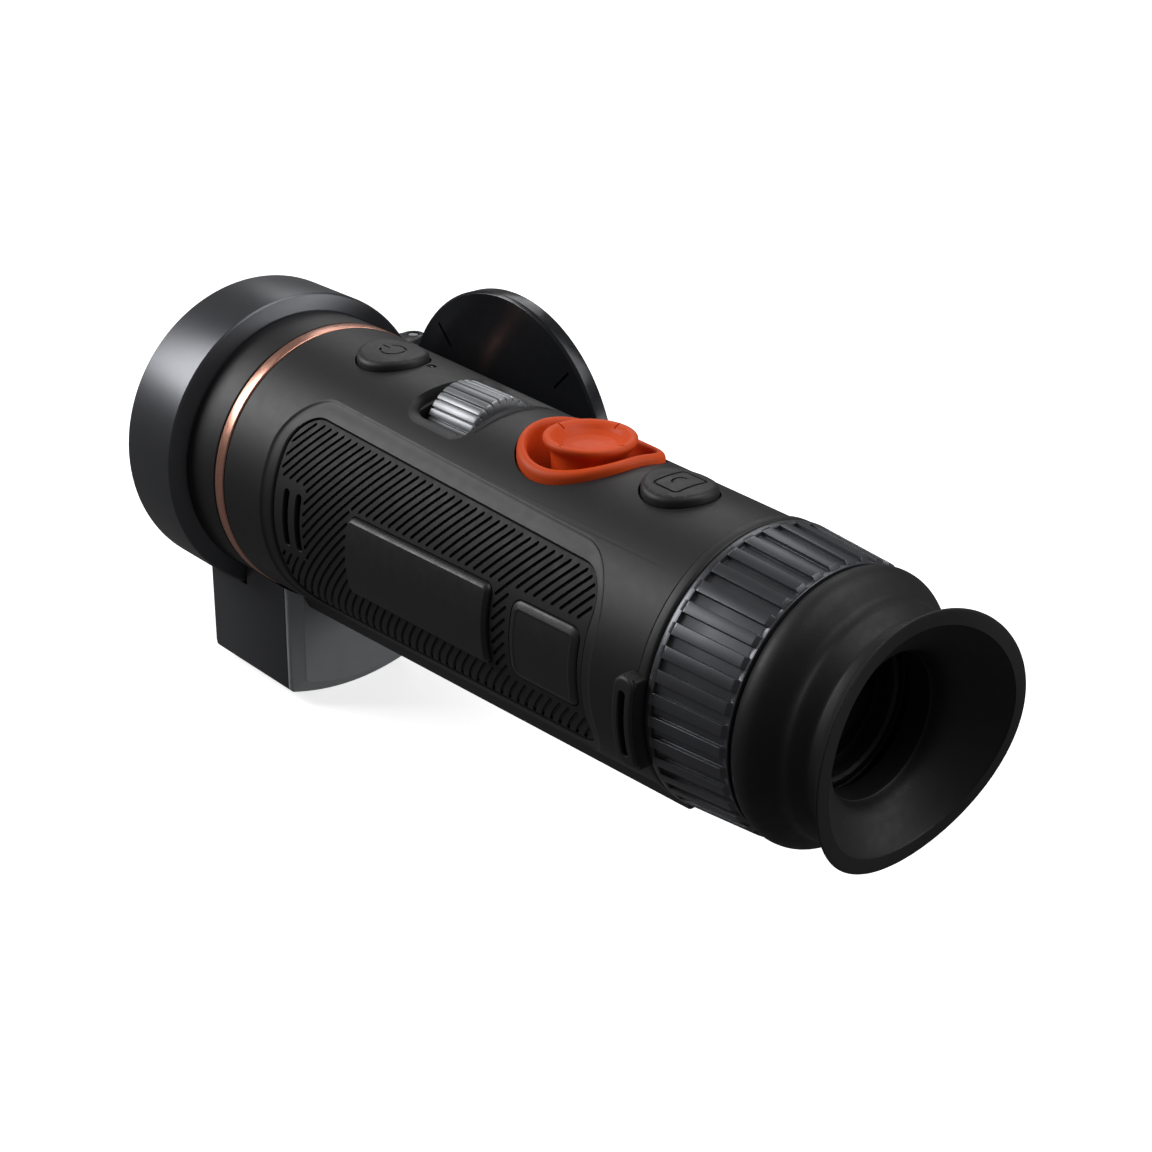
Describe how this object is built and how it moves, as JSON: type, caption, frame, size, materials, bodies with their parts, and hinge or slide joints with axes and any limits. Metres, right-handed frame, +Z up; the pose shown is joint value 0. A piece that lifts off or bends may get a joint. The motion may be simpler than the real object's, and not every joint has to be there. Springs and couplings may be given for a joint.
{
  "type": "thermal imaging monocular",
  "caption": "Hand-held thermal imaging monocular with laser rangefinder, flip-up lens cap, thumb focus wheel, control knob and flared rubber eyecup.",
  "frame": {"origin": "middle of the tripod pad's flat face under the body, between the threaded socket and the anti-twist pin hole", "axes": "+Y along the optical axis towards the objective, +X to the user's right, +Z up"},
  "size_m": [0.0815, 0.2048, 0.0902],
  "materials": {
    "shell_charcoal": "matte charcoal paint on light alloy",
    "button_black": "matte",
    "grip_rubber": "matte, diagonal ribs",
    "eyecup_rubber": "soft matte",
    "panel_black": "satin",
    "bell_black": "satin black anodised",
    "cap_black": "satin",
    "inner_black": "matte black, non-reflecting",
    "ranger_grey": "satin grey",
    "accent_copper": "polished, copper anodised",
    "signal_orange": "satin",
    "wheel_grey": "satin",
    "germanium": "coated germanium, opaque to the eye",
    "optical_glass": "coated glass",
    "steel": "satin",
    "brass": "machined",
    "circuit_board": "solder mask",
    "cell_wrap": "shrink wrap",
    "liner_cloth": "microfibre"
  },
  "bodies": {
    "housing": {"body_shell": "shell_charcoal", "front_barrel": "shell_charcoal", "strap_ring": "shell_charcoal", "left_touch_pad": "button_black", "right_touch_pad": "button_black", "left_grip": "grip_rubber", "right_grip": "grip_rubber", "left_nameplate": "panel_black", "right_nameplate": "panel_black", "wheel_tub": "panel_black", "knob_base": "panel_black", "objective_bell": "bell_black", "rangefinder_housing": "bell_black", "cap_bracket": "bell_black", "lens_retainer": "bell_black", "objective_cell": "inner_black", "eyepiece_sleeve": "inner_black", "shutter": "inner_black", "rangefinder_cover": "ranger_grey", "accent_ring": "accent_copper", "knob_bezel": "signal_orange", "objective_lens": "germanium", "receiver_lens": "optical_glass", "emitter_lens": "optical_glass", "status_led": "optical_glass", "display": "optical_glass", "tripod_plate": "steel", "hinge_pin": "steel", "sensor_core": "steel", "usb_port": "steel", "rangefinder_screw_1": "steel", "rangefinder_screw_2": "steel", "power_switch": "steel", "photo_switch": "steel", "knob_switch": "steel", "tripod_insert": "brass", "battery_contact": "brass", "main_board": "circuit_board", "power_board": "circuit_board", "photo_board": "circuit_board", "rangefinder_board": "circuit_board", "battery": "cell_wrap"},
    "lens_cap": {"lens_cap": "cap_black", "cap_liner": "liner_cloth"},
    "power_button": {"power_button": "button_black"},
    "photo_button": {"photo_button": "button_black"},
    "focus_wheel": {"focus_wheel": "wheel_grey", "focus_shaft": "steel", "focus_pinion": "brass"},
    "focus_ring": {"focus_ring": "brass"},
    "focus_cell": {"focus_cell": "inner_black", "focus_lens": "germanium"},
    "knob_gimbal": {"knob_gimbal": "steel"},
    "knob_rocker": {"knob_rocker": "inner_black"},
    "control_knob": {"control_knob": "signal_orange"},
    "diopter_ring": {"diopter_ring": "bell_black"},
    "diopter_cell": {"diopter_cell": "inner_black", "eye_lens": "optical_glass"},
    "eyecup": {"eyecup": "eyecup_rubber"},
    "usb_cover": {"usb_cover": "grip_rubber"}
  },
  "joints": [
    {"name": "cap_hinge", "type": "hinge", "parent": "housing", "child": "lens_cap", "pos_m": [0.0436, 0.0876, 0.0294], "axis": [0, 0, 1], "range_deg": [0, 270]},
    {"name": "power_press", "type": "slide", "parent": "housing", "child": "power_button", "axis": [0, 0, -1], "range_m": [0, 0.0005], "stiffness_N_per_m": 300},
    {"name": "photo_press", "type": "slide", "parent": "housing", "child": "photo_button", "axis": [0, 0, -1], "range_m": [0, 0.0005], "stiffness_N_per_m": 300},
    {"name": "focus_wheel_turn", "type": "hinge", "parent": "housing", "child": "focus_wheel", "pos_m": [0, 0.0075, 0.0519], "axis": [0, 1, 0], "range_deg": [-240, 240]},
    {"name": "focus_ring_turn", "type": "hinge", "parent": "housing", "child": "focus_ring", "pos_m": [0, 0.0525, 0.0294], "axis": [0, 1, 0], "range_deg": [-60.5, 60.5]},
    {"name": "focus_cell_slide", "type": "slide", "parent": "housing", "child": "focus_cell", "axis": [0, 1, 0], "range_m": [-0.0012, 0.0012]},
    {"name": "knob_tilt_fore", "type": "hinge", "parent": "housing", "child": "knob_gimbal", "pos_m": [0, -0.0259, 0.04715], "axis": [1, 0, 0], "range_deg": [-4, 4], "stiffness_Nm_per_rad": 0.1},
    {"name": "knob_tilt_side", "type": "hinge", "parent": "knob_gimbal", "child": "knob_rocker", "pos_m": [0, -0.0259, 0.04715], "axis": [0, 1, 0], "range_deg": [-4, 4], "stiffness_Nm_per_rad": 0.1},
    {"name": "knob_press", "type": "slide", "parent": "knob_rocker", "child": "control_knob", "axis": [0, 0, -1], "range_m": [0, 0.0005], "stiffness_N_per_m": 400},
    {"name": "diopter_turn", "type": "hinge", "parent": "housing", "child": "diopter_ring", "pos_m": [0, -0.081, 0.0294], "axis": [0, 1, 0], "range_deg": [-90, 90]},
    {"name": "diopter_cell_slide", "type": "slide", "parent": "housing", "child": "diopter_cell", "axis": [0, 1, 0], "range_m": [-0.0013, 0.0013]},
    {"name": "eyecup_turn", "type": "hinge", "parent": "housing", "child": "eyecup", "pos_m": [0, -0.094, 0.0294], "axis": [0, 1, 0], "continuous": true},
    {"name": "usb_cover_hinge", "type": "hinge", "parent": "housing", "child": "usb_cover", "pos_m": [0, -0.0414, 0.0014], "axis": [1, 0, 0], "range_deg": [0, 100]}
  ],
  "couplings": [
    {"joint": "focus_ring_turn", "follows": "focus_wheel_turn", "ratio": -0.25},
    {"joint": "focus_cell_slide", "follows": "focus_wheel_turn", "m_per_rad": 0.00028},
    {"joint": "diopter_cell_slide", "follows": "diopter_turn", "m_per_rad": 0.0008}
  ]
}
